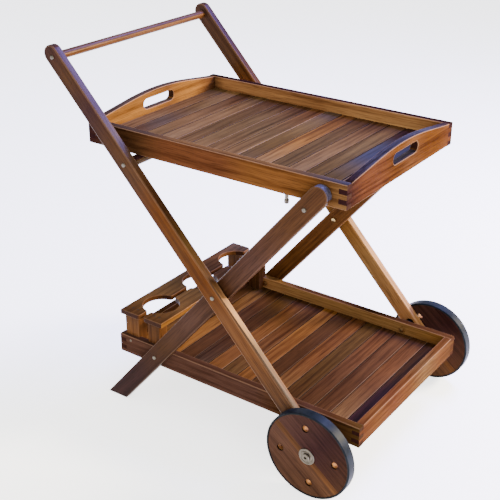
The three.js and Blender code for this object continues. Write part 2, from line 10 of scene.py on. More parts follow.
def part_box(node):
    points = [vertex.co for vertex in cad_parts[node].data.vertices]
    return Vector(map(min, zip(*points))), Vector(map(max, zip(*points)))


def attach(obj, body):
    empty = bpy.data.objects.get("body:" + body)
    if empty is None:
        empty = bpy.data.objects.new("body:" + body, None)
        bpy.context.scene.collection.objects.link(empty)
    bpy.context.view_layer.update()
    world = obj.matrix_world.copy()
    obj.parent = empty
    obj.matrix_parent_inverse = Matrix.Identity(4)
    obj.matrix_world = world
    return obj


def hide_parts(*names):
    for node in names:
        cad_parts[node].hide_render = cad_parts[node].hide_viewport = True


bl_info = {
    "name": "Serving Trolley",
    "version": (1, 0, 0),
    "blender": (4, 5, 0),
    "location": "View3D > Sidebar > Trolley",
    "description": "Dresses the serving trolley's frame with boards, bars, wheels and fittings",
    "category": "Object",
}

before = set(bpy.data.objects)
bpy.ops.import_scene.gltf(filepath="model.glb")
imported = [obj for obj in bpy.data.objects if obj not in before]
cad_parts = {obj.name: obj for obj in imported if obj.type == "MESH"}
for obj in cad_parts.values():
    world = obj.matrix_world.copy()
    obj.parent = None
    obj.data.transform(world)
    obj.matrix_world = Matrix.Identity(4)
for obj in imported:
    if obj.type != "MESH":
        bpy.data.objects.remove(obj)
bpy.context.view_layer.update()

# The trolley's directions. OUT runs to its left side, and each side has its sign along OUT
OUT = Vector((0, 1, 0))
FORWARD = Vector((1, 0, 0))
UP = Vector((0, 0, 1))
SIDES = {"right": -1, "left": 1}

# Distances in metres below which two corners of a frame node are one, two places of a new piece
# are one, and an edge has no length
SAME_CORNER = 1e-5
SAME_PLACE = 1e-6
NO_LENGTH = 1e-7


# Places and directions taken from the frame


def middle_of(node):
    low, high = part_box(node)
    return (low + high) / 2


def lean_of(foot_node, head_node):
    """The direction from one round fitting to another, in the side view."""
    run = middle_of(head_node) - middle_of(foot_node)
    run.y = 0
    return run.normalized()


def round_size(node):
    """The radius and the width of a round node whose axis runs along OUT."""
    low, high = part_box(node)
    return (high.z - low.z) / 2, high.y - low.y


def end_of(node, sign):
    """The middle of a node's right end for -1, or of its left end for 1."""
    low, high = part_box(node)
    place = middle_of(node)
    place.y = low.y if sign < 0 else high.y
    return place


ARM_RUN = lean_of("axle_bolt_right", "handle_bolt_right")
LEG_RUN = lean_of("leg_shelf_bolt_right", "front_bar_bolt_right")


# Sizes and colours that a user would change


def length_property(name, description, default):
    return bpy.props.FloatProperty(
        name=name,
        description=description,
        default=default,
        min=0.0,
        unit="LENGTH",
        subtype="DISTANCE",
    )


def colour_property(name, description, default):
    return bpy.props.FloatVectorProperty(
        name=name,
        description=description,
        default=default,
        size=3,
        min=0.0,
        max=1.0,
        subtype="COLOR",
    )


class TrolleySizes(bpy.types.PropertyGroup):
    board_round: length_property("Board edge round", "Rounding of the boards' long edges", 0.0014)
    # The dark strip on the right arm's edge is a painted shadow, running down from the crossing
    heart_width: length_property("Heartwood strip", "Width of the dark strip on the arm's edge", 0.0035)
    heart_slant: bpy.props.FloatProperty(
        name="Heartwood slant",
        description="How fast that strip widens down the arm",
        default=0.02,
        min=0.0,
    )
    slat_round: length_property("Slat edge round", "Rounding of the slats' upper edges", 0.0011)
    plank_round: length_property("Plank edge round", "Rounding of the bottle planks' edges", 0.0014)
    slat_gap: length_property("Slat gap", "Gap between two slats", 0.0018)
    slat_thickness: length_property("Slat thickness", "Thickness of a slat", 0.010)
    batten_width: length_property("Batten width", "Width of the strips under the slats", 0.014)
    tyre_round: length_property("Tyre shoulder", "Rounding of the tyre's shoulders", 0.0019)
    disc_joint: length_property("Disc joint", "Distance of a wheel disc's joint from its hub", 0.004)
    disc_strip: length_property("Disc strip", "Width of the board beside that joint", 0.014)
    # The mouth of a disc's hole takes painted shade
    hole_mouth: length_property("Hole mouth", "Depth of the dark mouth of a disc's hole", 0.004)
    bar_chamfer: length_property("Bar chamfer", "Chamfer of the round bars' ends", 0.001)
    screw_radius: length_property("Screw radius", "Radius of the wood screws' heads", 0.0031)
    screw_spacing: length_property("Screw spacing", "Distance between a plank end's two screws", 0.014)
    screw_drop: length_property(
        "Screw drop", "How far a post's screw lies below the top of the shelf's rail", 0.010
    )


class TrolleyColours(bpy.types.PropertyGroup):
    honey: colour_property("Honey wood", "Pale golden sapwood", (0.27, 0.125, 0.045))
    amber: colour_property("Amber wood", "Golden wood", (0.165, 0.068, 0.013))
    ginger: colour_property("Ginger wood", "Orange brown wood", (0.100, 0.039, 0.010))
    chestnut: colour_property("Chestnut wood", "Middle brown wood", (0.078, 0.030, 0.009))
    russet: colour_property("Russet wood", "Reddish brown wood", (0.070, 0.024, 0.009))
    umber: colour_property("Umber wood", "Dark brown wood", (0.046, 0.019, 0.007))
    olive: colour_property("Olive wood", "Dark olive brown wood", (0.050, 0.025, 0.0065))
    cocoa: colour_property("Cocoa wood", "Very dark brown wood", (0.031, 0.012, 0.004))
    # Near black painted shade: the strip on the right arm's edge, the slats' sides in their gaps and
    # the mouths of the discs' holes
    tar: colour_property("Tar wood", "Nearly black heartwood and joints", (0.011, 0.0045, 0.0014))
    plum: colour_property("Plum wood", "Dark purplish brown wood", (0.019, 0.0065, 0.006))
    sienna: colour_property("Sienna wood", "Deep orange brown wood", (0.060, 0.020, 0.003))
    copper: colour_property("Copper wood", "Deep reddish orange wood", (0.060, 0.017, 0.001))
    straw: colour_property("Straw wood", "Palest yellow wood", (0.36, 0.18, 0.065))
    mauve: colour_property("Mauve wood", "Pale greyish pink wood", (0.112, 0.064, 0.027))
    rose: colour_property("Rose wood", "Pinkish brown wood", (0.098, 0.050, 0.018))
    bark: colour_property("Bark wood", "Middle greyish brown wood", (0.064, 0.035, 0.012))
    grey: colour_property("Grey wood", "Dark greyish brown wood", (0.044, 0.027, 0.018))
    # Painted reflection of the sky, on the tray's top edges and its last two slats
    slate: colour_property("Slate wood", "Bluish dark wood", (0.030, 0.027, 0.040))
    walnut: colour_property("Walnut wood", "Dark brown wood with a purple cast", (0.044, 0.020, 0.013))
    ochre: colour_property("Ochre wood", "Yellowish brown wood", (0.23, 0.12, 0.040))
    # Painted reflection of the sky near the right arm's head
    mulberry: colour_property("Mulberry wood", "Very dark purple wood", (0.024, 0.012, 0.012))
    # Painted reflection of the sky on the right leg's head
    lilac: colour_property("Lilac wood", "Bluish grey wood", (0.045, 0.040, 0.058))
    rubber: colour_property("Rubber", "The tyres", (0.003, 0.0045, 0.007))
    steel: colour_property("Steel", "Bolts, washers and hub caps", (0.105, 0.090, 0.070))
    brass: colour_property("Brass", "Cap nuts", (0.46, 0.32, 0.14))
    # The planks' screws are darkened to paint the shade in their countersunk holes
    blackened_steel: colour_property("Blackened steel", "The planks' screws", (0.020, 0.014, 0.012))
    floor: colour_property("Floor", "The pale floor", (0.92, 0.92, 0.92))


def sizes():
    return bpy.context.scene.trolley_sizes


def colour(name):
    return tuple(getattr(bpy.context.scene.trolley_colours, name))


# Materials

# How fine each pattern is along the board, across it and through it. The brush's goes by X, Y and Z
WANDER_SCALE = (1.6, 11.0, 11.0)
RING_SCALE = (0.22, 1.0, 1.0)
STREAK_SCALE = (2.6, 105.0, 105.0)
FIBRE_SCALE = (13.0, 400.0, 400.0)
CLOUD_SCALE = (1.3, 13.0, 13.0)
PORE_SCALE = (20.0, 520.0, 520.0)
BRUSH_SCALE = (60.0, 2400.0, 60.0)

# How far the grain wanders from a straight line, in metres
WANDER = (0.0, 0.020, 0.020)

# How much each pattern adds to the figure, which then multiplies the board's shade by its stops
RING_SHARE = 0.14
STREAK_SHARE = 0.85
CLOUD_SHARE = 0.70
FIBRE_SHARE = 0.55
FIGURE_STOPS = (
    (0.24, (0.40, 0.33, 0.30)),
    (0.42, (0.78, 0.74, 0.72)),
    (0.58, (1.06, 1.06, 1.06)),
    (0.82, (1.48, 1.52, 1.45)),
)
PORE_STOPS = ((0.36, 0.40), (0.47, 1.0))
PORE_SHARE = 0.60

# End grain is darkened towards one colour, and edges are lifted and paled towards another, partly as
# wear and partly as a painted highlight on the rounded arrises
END_GRAIN = (0.014, 0.005, 0.005)
END_SHARE = 0.85
WORN_EDGE_AND_HIGHLIGHT = (0.32, 0.19, 0.11)
WEAR_AND_HIGHLIGHT_SHARE = 0.5
WEAR_AND_HIGHLIGHT_LIFT = (1.9, 1.9, 1.9)

# How much rougher than its gloss the varnish is on dark streaks, and how much smoother on pale ones
DARK_STREAK_ROUGHER = 0.10
PALE_STREAK_SMOOTHER = 0.04
STREAK_RANGE = (0.3, 0.7)

TARNISH_STOPS = ((0.30, 0.72), (0.62, 1.0))
DUST_PLACES = (0.35, 0.75)
DUST_LIFT = 2.2
DUST_FLOOR = 0.004

# Colours of the varnish's gloss
PALE_GLOSS = (1.0, 0.80, 0.62)
WARM_GLOSS = (1.0, 0.74, 0.56)
LEG_GLOSS = (1.0, 0.74, 0.60)
AMBER_GLOSS = (1.0, 0.76, 0.42)
RUBBER_GLOSS = (0.90, 0.88, 0.62)


def node_with(tree, kind, links=(), **settings):
    """A shader node with its settings, and its inputs given by a socket or by a value."""
    node = tree.nodes.new(kind)
    for key, value in settings.items():
        setattr(node, key, value)
    for key, value in dict(links).items():
        if isinstance(value, bpy.types.NodeSocket):
            tree.links.new(value, node.inputs[key])
        else:
            node.inputs[key].default_value = value
    return node


def vector_math(tree, operation, first, second):
    node = node_with(tree, "ShaderNodeVectorMath", {0: first, 1: second}, operation=operation)
    return node.outputs[0]


def number_math(tree, operation, first, second):
    return node_with(tree, "ShaderNodeMath", {0: first, 1: second}, operation=operation).outputs[0]


def noise(tree, place, scale, detail=2.0, roughness=0.5, output="Fac"):
    scaled = vector_math(tree, "MULTIPLY", place, scale)
    settings = {"Vector": scaled, "Scale": 1.0, "Detail": detail, "Roughness": roughness}
    return node_with(tree, "ShaderNodeTexNoise", settings).outputs[output]


def even_noise(tree, place, scale, detail, roughness=0.5):
    """Noise that is as fine in every direction."""
    return noise(tree, place, (scale,) * 3, detail, roughness)


def rings_of(tree, place):
    """The growth rings, seen as lines along the board."""
    settings = {
        "Vector": vector_math(tree, "MULTIPLY", place, RING_SCALE),
        "Scale": 34.0,
        "Distortion": 2.2,
        "Detail": 2.0,
        "Detail Scale": 0.7,
    }
    node = node_with(
        tree, "ShaderNodeTexWave", settings, wave_type="RINGS", rings_direction="X", wave_profile="SIN"
    )
    return node.outputs["Fac"]


def ramp(tree, factor, stops):
    node = node_with(tree, "ShaderNodeValToRGB", {"Fac": factor})
    elements = node.color_ramp.elements
    while len(elements) < len(stops):
        elements.new(0.5)
    for element, (place, shade) in zip(elements, stops):
        element.position = place
        element.color = (*shade, 1.0)
    return node.outputs["Color"]


def grey_ramp(tree, factor, stops):
    return ramp(tree, factor, [(place, (value,) * 3) for place, value in stops])


def mixed(tree, factor, first, second, blend="MIX"):
    """Two colours mixed. A Mix node's colours are its inputs 6 and 7, and its output 2."""
    links = {0: factor}
    for index, shade in ((6, first), (7, second)):
        links[index] = shade if isinstance(shade, bpy.types.NodeSocket) else (*shade, 1.0)
    return node_with(tree, "ShaderNodeMix", links, data_type="RGBA", blend_type=blend).outputs[2]


def times(tree, first, second):
    return mixed(tree, 1.0, first, second, "MULTIPLY")


def attribute(tree, name, output):
    node = node_with(tree, "ShaderNodeAttribute", attribute_name=name, attribute_type="GEOMETRY")
    return node.outputs[output]


def new_material(name):
    material = bpy.data.materials.new(name)
    material.use_nodes = True
    tree = material.node_tree
    tree.nodes.clear()
    shader = tree.nodes.new("ShaderNodeBsdfPrincipled")
    output = tree.nodes.new("ShaderNodeOutputMaterial")
    tree.links.new(shader.outputs[0], output.inputs["Surface"])
    return material, tree, shader


def give_roughness(tree, shader, pattern, roughness, pattern_range=(0.0, 1.0)):
    """Makes the roughness run between two values as the pattern runs through its range."""
    settings = {"Value": pattern}
    settings["From Min"], settings["From Max"] = pattern_range
    settings["To Min"], settings["To Max"] = roughness
    rough = node_with(tree, "ShaderNodeMapRange", settings)
    tree.links.new(rough.outputs[0], shader.inputs["Roughness"])


def give_relief(tree, shader, pattern, strength, depth):
    settings = {"Height": pattern, "Strength": strength, "Distance": depth}
    bump = node_with(tree, "ShaderNodeBump", settings)
    tree.links.new(bump.outputs[0], shader.inputs["Normal"])


def give_gloss(shader, shine, tint):
    shader.inputs["Specular IOR Level"].default_value = shine
    shader.inputs["Specular Tint"].default_value = (*tint, 1.0)


def wood(name, figure=0.8, gloss=0.36, shine=0.02, tint=PALE_GLOSS, wear=0.6):
    """Varnished acacia: the board's own shade, varied by its rings, streaks, fibres and pores."""
    material, tree, shader = new_material(name)
    grain = attribute(tree, "grain", "Vector")
    shade = attribute(tree, "shade", "Color")
    wander = noise(tree, grain, WANDER_SCALE, output="Color")
    centred = vector_math(tree, "SUBTRACT", wander, (0.5, 0.5, 0.5))
    bent = vector_math(tree, "ADD", grain, vector_math(tree, "MULTIPLY", centred, WANDER))
    streaks = noise(tree, bent, STREAK_SCALE, detail=5.0, roughness=0.62)
    fibres = noise(tree, bent, FIBRE_SCALE, detail=3.0, roughness=0.6)
    patterns = (
        (rings_of(tree, bent), RING_SHARE),
        (streaks, STREAK_SHARE),
        (noise(tree, grain, CLOUD_SCALE), CLOUD_SHARE),
        (fibres, FIBRE_SHARE),
    )
    tone = 0.5 - sum(share for _, share in patterns) / 2
    for pattern, share in patterns:
        tone = number_math(tree, "ADD", number_math(tree, "MULTIPLY", pattern, share), tone)
    stained = mixed(tree, figure, shade, times(tree, shade, ramp(tree, tone, FIGURE_STOPS)))
    pores = grey_ramp(tree, noise(tree, bent, PORE_SCALE), PORE_STOPS)
    pored = mixed(tree, PORE_SHARE, stained, times(tree, stained, pores))
    end_cut = number_math(tree, "MULTIPLY", attribute(tree, "end_cut", "Fac"), END_SHARE)
    ended = mixed(tree, end_cut, pored, END_GRAIN)
    # Edges are paled partly as wear and partly as a painted highlight on the rounded arrises
    worn_and_highlit = mixed(tree, WEAR_AND_HIGHLIGHT_SHARE, times(tree, ended, WEAR_AND_HIGHLIGHT_LIFT), WORN_EDGE_AND_HIGHLIGHT)
    arris = number_math(tree, "MULTIPLY", attribute(tree, "arris", "Fac"), wear)
    tree.links.new(mixed(tree, arris, ended, worn_and_highlit), shader.inputs["Base Color"])
    roughness = (gloss + DARK_STREAK_ROUGHER, gloss - PALE_STREAK_SMOOTHER)
    give_roughness(tree, shader, streaks, roughness, STREAK_RANGE)
    give_relief(tree, shader, fibres, strength=0.16, depth=0.0006)
    give_gloss(shader, shine, tint)
    return material


def metal(name, shade, roughness, brushed=0.06):
    """Brushed metal with a little tarnish."""
    material, tree, shader = new_material(name)
    place = node_with(tree, "ShaderNodeTexCoord").outputs["Object"]
    tarnish = grey_ramp(tree, even_noise(tree, place, scale=120.0, detail=3.0), TARNISH_STOPS)
    lines = noise(tree, place, BRUSH_SCALE)
    tree.links.new(times(tree, colour(shade), tarnish), shader.inputs["Base Color"])
    give_roughness(tree, shader, lines, (roughness - brushed, roughness + brushed))
    give_relief(tree, shader, lines, strength=0.08, depth=0.0002)
    shader.inputs["Metallic"].default_value = 1.0
    return material


def rubber(name, shade):
    """Matt rubber with a little dust on its skin."""
    material, tree, shader = new_material(name)
    place = node_with(tree, "ShaderNodeTexCoord").outputs["Object"]
    dust = even_noise(tree, place, scale=45.0, detail=4.0, roughness=0.6)
    skin = even_noise(tree, place, scale=900.0, detail=2.0)
    dusty = tuple(value * DUST_LIFT + DUST_FLOOR for value in colour(shade))
    grime = ramp(tree, dust, list(zip(DUST_PLACES, (colour(shade), dusty))))
    tree.links.new(grime, shader.inputs["Base Color"])
    give_roughness(tree, shader, dust, (0.34, 0.52))
    give_relief(tree, shader, skin, strength=0.12, depth=0.0003)
    give_gloss(shader, 0.045, RUBBER_GLOSS)
    return material


# Each finish, most under their slot's name: the material's name, what makes it, and its settings
FINISHES = {
    "arm_wood": (
        "arm acacia",
        wood,
        {"figure": 0.75, "gloss": 0.28, "shine": 0.035, "tint": WARM_GLOSS, "wear": 0.25},
    ),
    "bar_wood": (
        "bar acacia",
        wood,
        {"figure": 0.8, "gloss": 0.32, "shine": 0.04, "tint": WARM_GLOSS, "wear": 0.0},
    ),
    "leg_wood": (
        "leg acacia",
        wood,
        {"figure": 0.8, "gloss": 0.30, "shine": 0.03, "tint": LEG_GLOSS, "wear": 0.15},
    ),
    "spacer_wood": ("spacer acacia", wood, {}),
    "tray_wood": ("tray acacia", wood, {"figure": 0.9, "shine": 0.001, "wear": 0.6}),
    "slat_wood": (
        "slat acacia",
        wood,
        {"figure": 1.0, "shine": 0.03, "tint": AMBER_GLOSS, "wear": 1.0},
    ),
    "shelf_wood": ("shelf acacia", wood, {"figure": 0.9, "shine": 0.001, "wear": 0.45}),
    "bottle_holder_wood": ("bottle holder acacia", wood, {"figure": 0.85, "wear": 0.3}),
    "wheel_wood": ("wheel acacia", wood, {"figure": 0.8, "gloss": 0.34, "wear": 0.1}),
    "steel_hardware": ("plated steel", metal, {"shade": "steel", "roughness": 0.30}),
    # The planks' screws are darkened to paint the shade in their holes
    "blackened_screws": ("blackened steel", metal, {"shade": "blackened_steel", "roughness": 0.45}),
    "pins": ("pin steel", metal, {"shade": "steel", "roughness": 0.26}),
    "brass_nuts": ("nut brass", metal, {"shade": "brass", "roughness": 0.28}),
    "tyre_rubber": ("tyre rubber", rubber, {"shade": "rubber"}),
}


def finish_of(finish):
    """A finish's material, made when it is first asked for."""
    name, make, settings = FINISHES[finish]
    return bpy.data.materials.get(name) or make(name, **settings)


# Making pieces

# Faces that meet below the first angle are one, and an edge above the second is a corner
FLAT_ANGLE = math.radians(1.0)
CORNER_ANGLE = math.radians(30.0)


def merged_copy(node):
    """A frame node's mesh with its doubles merged and its flat faces joined."""
    shape = bmesh.new()
    shape.from_mesh(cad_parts[node].data)
    bmesh.ops.remove_doubles(shape, verts=shape.verts, dist=SAME_CORNER)
    bmesh.ops.dissolve_limit(shape, angle_limit=FLAT_ANGLE, verts=shape.verts, edges=shape.edges)
    return shape


def is_corner(edge):
    return len(edge.link_faces) == 2 and edge.is_convex and edge.calc_face_angle(0.0) > CORNER_ANGLE


def round_edges(shape, edges, width, segments=3):
    bmesh.ops.bevel(
        shape,
        geom=list(edges),
        offset=width,
        offset_type="OFFSET",
        affect="EDGES",
        segments=segments,
        profile=0.5,
        material=-1,
    )


def block(shape, low, high, is_rounded=None, width=0.0):
    """Adds a box between two corners, with the edges that is_rounded picks rounded."""
    made = bmesh.ops.create_cube(shape, size=1.0)["verts"]
    scale = Matrix.Diagonal((*(high - low), 1.0))
    bmesh.ops.transform(shape, matrix=Matrix.Translation((low + high) / 2) @ scale, verts=made)
    if is_rounded:
        near = dict.fromkeys(edge for vert in made for edge in vert.link_edges)
        round_edges(shape, filter(is_rounded, near), width)


def turned(profile, seat, axis, steps):
    """A piece turned about an axis, from a profile of radius and distance outwards from its seat."""
    shape = bmesh.new()
    points = [shape.verts.new((radius, 0.0, along)) for radius, along in profile]
    lines = [shape.edges.new(pair) for pair in zip(points, points[1:])]
    bmesh.ops.spin(
        shape,
        geom=points + lines,
        cent=(0.0, 0.0, 0.0),
        axis=UP,
        angle=math.tau,
        steps=steps,
        use_merge=True,
    )
    bmesh.ops.remove_doubles(shape, verts=shape.verts, dist=SAME_PLACE)
    bmesh.ops.dissolve_degenerate(shape, dist=NO_LENGTH, edges=shape.edges)
    bmesh.ops.recalc_face_normals(shape, faces=shape.faces)
    turn = UP.rotation_difference(axis).to_matrix().to_4x4()
    bmesh.ops.transform(shape, matrix=Matrix.Translation(seat) @ turn, verts=shape.verts)
    return shape


def scaled_profile(shares, radius, height):
    """A profile given in shares of a radius and of a height."""
    return [(radius * across, height * along) for across, along in shares]


# Steps from board to board in the tree they are sawn from, in metres
LOG_STEP = 0.731
HEART_GAP = 0.018
RING_STEP = 0.011
RINGS = 4
DEPTH = 0.030
DEPTH_STEP = 0.013
DEPTHS = 5


def place_in_tree(number):
    """Where a board is sawn from, so that no two boards have the same figure."""
    side = 1 if number % 2 else -1
    across = side * (HEART_GAP + RING_STEP * (number % RINGS))
    through = DEPTH + DEPTH_STEP * (number % DEPTHS)
    return Vector((LOG_STEP * number, across, through))


class Board:
    """One board of wood: where its grain runs, its shades from end to end, and its own figure."""

    def __init__(self, number, along, across, shades, low, high):
        self.along = along.normalized()
        self.across = across.normalized()
        self.through = self.along.cross(self.across)
        self.centre = (low + high) / 2
        self.length = sum(abs(side * share) for side, share in zip(high - low, self.along))
        names = (shades,) if isinstance(shades, str) else shades
        self.shades = [Vector(colour(name)) for name in names]
        self.shift = place_in_tree(number)

    def grain_at(self, place):
        from_centre = place - self.centre
        run = [from_centre.dot(direction) for direction in (self.along, self.across, self.through)]
        return Vector(run) + self.shift

    def shade_at(self, place):
        last = len(self.shades) - 1
        share = 0.5 + (place - self.centre).dot(self.along) / self.length
        step = min(max(share, 0.0), 1.0) * last
        first = min(int(step), max(last - 1, 0))
        return self.shades[first].lerp(self.shades[min(first + 1, last)], step - first)

    def cut_places(self):
        """Where the shades meet, so that each gets its own ring of vertices."""
        steps = len(self.shades) - 1
        for index in range(1, steps):
            yield self.centre + self.along * self.length * (index / steps - 0.5)


def cut_across(shape, place, direction):
    everything = [*shape.verts, *shape.edges, *shape.faces]
    bmesh.ops.bisect_plane(
        shape, geom=everything, dist=SAME_PLACE, plane_co=place, plane_no=direction
    )


# A look is the cosine between a face's normal and a direction: end grain looks along its board,
# and a rounded edge looks partly through it
END_LOOK = 0.8
ARRIS_LOOKS = (0.15, 0.97)


def give_grain(shape, board_of, end_share=1.0, wear_of=lambda face: 1.0):
    """Stores each corner's place in its own board, the board's shade, its end cuts and its edges."""
    grain = shape.loops.layers.float_vector.new("grain")
    shade = shape.loops.layers.float_vector.new("shade")
    end_cut = shape.faces.layers.float.new("end_cut")
    arris = shape.faces.layers.float.new("arris")
    least, most = ARRIS_LOOKS
    for face in shape.faces:
        board = board_of(face)
        is_end = abs(face.normal.dot(board.along)) > END_LOOK
        is_arris = least < abs(face.normal.dot(board.through)) < most
        face[end_cut] = end_share if is_end else 0.0
        face[arris] = wear_of(face) if is_arris else 0.0
        for loop in face.loops:
            loop[grain] = board.grain_at(loop.vert.co)
            loop[shade] = board.shade_at(loop.vert.co)


def corners_of(shape):
    low = Vector([min(vert.co[axis] for vert in shape.verts) for axis in range(3)])
    high = Vector([max(vert.co[axis] for vert in shape.verts) for axis in range(3)])
    return low, high


def toned_board(shape, number, along, across, tones, tone_of, end_share=1.0):
    """Gives a shape one board's grain, in several tones: tone_of says which one a face takes."""
    low, high = corners_of(shape)
    boards = [Board(number, along, across, shades, low, high) for shades in tones]
    for board in boards:
        for place in board.cut_places():
            cut_across(shape, place, board.along)
    give_grain(shape, lambda face: boards[tone_of(face)], end_share)


def finish_piece(name, shape, slot, body, *nodes, finish=None, smooth_below=40.0):
    """Makes a shape a piece that rides on a body, and stands for the frame's nodes that it names."""
    mesh = bpy.data.meshes.new(name)
    shape.to_mesh(mesh)
    shape.free()
    mesh.shade_smooth()
    mesh.set_sharp_from_angle(angle=math.radians(smooth_below))
    mesh.materials.append(finish_of(finish or slot))
    piece = bpy.data.objects.new(name, mesh)
    bpy.context.scene.collection.objects.link(piece)
    even = piece.modifiers.new("even normals", "WEIGHTED_NORMAL")
    even.keep_sharp = True
    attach(piece, body)
    if nodes:
        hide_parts(*nodes)


# Boards

# The number in the tree of each kind's first board
FIRST_NUMBER = {
    "arm": 3,
    "leg": 4,
    "slat": 11,
    "plank": 17,
    "post": 19,
    "bar": 23,
    "disc": 27,
    "batten": 40,
    "slat side": 41,
}

# Tones of the long boards from foot to head, and those of the arms' upper edges and the legs' heads.
# The arms' darker heads are partly a painted darker reflection, and the right leg's darker tones at the
# crossing are painted shade. The upper-edge and head tones paint light: highlights where the arms'
# edges are lit, painted shade at the crossing and under the tray, and a bluish and purple painted
# reflection of the sky near the right arm's head and on the right leg's head; the left leg keeps its
# own tones
LONG_BOARD_SHADES = {
    "arm_right": (
        ("umber",) * 3 + ("chestnut",) * 2 + ("copper", "sienna", "copper")
        + ("umber", "cocoa", "plum", "cocoa", "plum")
    ),
    "arm_left": ("ochre", "honey", "ochre", "amber", "amber", "chestnut", "ginger", "umber", "walnut"),
    "leg_right": ("plum", "plum", "cocoa", "walnut", "cocoa", "walnut", "umber", "umber"),
    "leg_left": ("chestnut", "ginger", "ginger", "chestnut", "umber"),
}
UPPER_FACE_PAINTED_LIGHT = {
    "arm_right": (
        ("plum", "plum", "chestnut", "rose", "straw", "umber", "olive")
        + ("cocoa", "umber", "grey", "mulberry", "mulberry", "plum")
    ),
    "arm_left": ("ochre", "honey", "straw", "ochre", "amber", "umber", "umber", "plum", "plum"),
    "leg_right": "lilac",
    "leg_left": LONG_BOARD_SHADES["leg_left"],
}

# How squarely such an upper face looks its own way
UPPER_FACE_LOOK = 0.5


def cut_painted_shadow_strip(shape, node, run):
    """Cuts a board along the edge of a painted shadow strip that runs down from the crossing, and
    returns a test for the faces in it.
    """
    start = middle_of("crossing_bolt_right")
    start.y = end_of(node, -1).y + sizes().heart_width
    side = (OUT + run * sizes().heart_slant).normalized()
    cut_across(shape, start, side)

    def is_in_painted_shadow(face):
        from_start = face.calc_center_median() - start
        return from_start.dot(side) < 0 and from_start.dot(run) < 0

    return is_in_painted_shadow


def build_long_board(kind, side, number, run, facing):
    """An arm or a leg. Its upper face, which looks in the direction facing, has its own tones of
    painted light and shade, and the right arm's edge a painted shadow strip.
    """
    node = f"{kind}_{side}"
    shape = merged_copy(node)
    is_in_painted_shadow = cut_painted_shadow_strip(shape, node, run) if node == "arm_right" else lambda face: False

    def tone_of(face):
        if face.normal.dot(facing) < UPPER_FACE_LOOK:
            return 0
        # Faces in that strip take near black painted shade
        return 2 if is_in_painted_shadow(face) else 1

    tones = (LONG_BOARD_SHADES[node], UPPER_FACE_PAINTED_LIGHT[node], "tar")
    end_share = 0.0 if node == "leg_right" else 1.0
    toned_board(shape, number, run, run.cross(OUT), tones, tone_of, end_share)
    finish_piece(f"{kind}_board_{side}", shape, f"{kind}_wood", "frame", node, smooth_below=50.0)


def build_long_boards():
    for index, side in enumerate(SIDES):
        arm_number = FIRST_NUMBER["arm"] + 2 * index
        leg_number = FIRST_NUMBER["leg"] + 2 * index
        build_long_board("arm", side, arm_number, ARM_RUN, -ARM_RUN.cross(OUT))
        build_long_board("leg", side, leg_number, LEG_RUN, LEG_RUN)


# The rounding stops this far short of the finger joints, and a top face looks up this squarely
FINGER_MARGIN = 0.001
TOP_LOOK = 0.8


def jointed_board(node, along, number, shades, slot, body, shortest=0.001, end_share=1.0, top=None):
    """A box-jointed board, whose fingers stay crisp. Its other edges over a length are rounded."""
    shape = merged_copy(node)
    low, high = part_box(node)
    thickness = min(high - low)
    middle = middle_of(node)
    reach = (high - low).dot(along) / 2 - thickness - FINGER_MARGIN

    def is_rim(edge):
        centre = (edge.verts[0].co + edge.verts[1].co) / 2
        is_between_joints = abs((centre - middle).dot(along)) < reach
        return is_corner(edge) and is_between_joints and edge.calc_length() > shortest

    round_edges(shape, filter(is_rim, shape.edges), sizes().board_round)
    tones = (shades, top or shades)
    # A top face takes tones of its own: painted light, painted shade and a painted reflection of the
    # sky
    toned_board(shape, number, along, UP, tones, lambda face: face.normal.z > TOP_LOOK, end_share)
    name = node.replace("tray", "tray_board").replace("shelf", "shelf_board")
    finish_piece(name, shape, slot, body, node)


# Only edges over this length run along a slat
LONG_EDGE = 0.1

# The battens end this far below the slats
BATTEN_PLAY = 0.0002

# A slat's side looks forward or back this squarely and takes painted shade, for the dark gaps between
# the slats; most slats' rounded edges are paled this much, partly wear, partly a painted highlight
SLAT_SIDE_LOOK = 0.6
SLAT_WEAR_AND_HIGHLIGHT = 0.1


def build_deck(node, name, shades, pale_edges, slot, body):
    """Slats with rounded upper edges on two battens; single slats' front edges are paled further,
    partly as wear and partly as a painted highlight.
    """
    low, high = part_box(node)
    gap = sizes().slat_gap
    pitch = (high.x - low.x + gap) / len(shades)
    underside = high.z - sizes().slat_thickness
    deck = bmesh.new()

    def is_top(edge):
        first, second = (vert.co for vert in edge.verts)
        is_high = min(first.z, second.z) > high.z - SAME_CORNER
        return is_high and abs((first - second).y) > LONG_EDGE

    slats = []
    for index, names in enumerate(shades):
        first = Vector((low.x + index * pitch, low.y, underside))
        last = Vector((low.x + (index + 1) * pitch - gap, high.y, high.z))
        block(deck, first, last, is_top, sizes().slat_round)
        slats.append(Board(FIRST_NUMBER["slat"] + index, OUT, FORWARD, names, first, last))
    for place in max(slats, key=lambda slat: len(slat.shades)).cut_places():
        cut_across(deck, place, OUT)
    width = sizes().batten_width
    for edge in (low.y, high.y - width):
        end = Vector((high.x, edge + width, underside - BATTEN_PLAY))
        block(deck, Vector((low.x, edge, low.z)), end)
    batten = Board(FIRST_NUMBER["batten"], FORWARD, OUT, "umber", low, high)
    slat_side_shade = Board(FIRST_NUMBER["slat side"], OUT, FORWARD, "tar", low, high)

    def slat_number(face):
        from_first = face.calc_center_median().x - low.x + gap / 2
        return min(len(slats) - 1, int(from_first / pitch))

    def wear_of(face):
        return pale_edges.get(slat_number(face), SLAT_WEAR_AND_HIGHLIGHT) if face.normal.x > 0 else SLAT_WEAR_AND_HIGHLIGHT

    def board_of(face):
        if face.calc_center_median().z < underside - BATTEN_PLAY / 2:
            return batten
        # A slat's sides take painted shade, for the dark gaps
        if abs(face.normal.x) > SLAT_SIDE_LOOK:
            return slat_side_shade
        return slats[slat_number(face)]

    give_grain(deck, board_of, wear_of=wear_of)
    finish_piece(name, deck, slot, body, node)


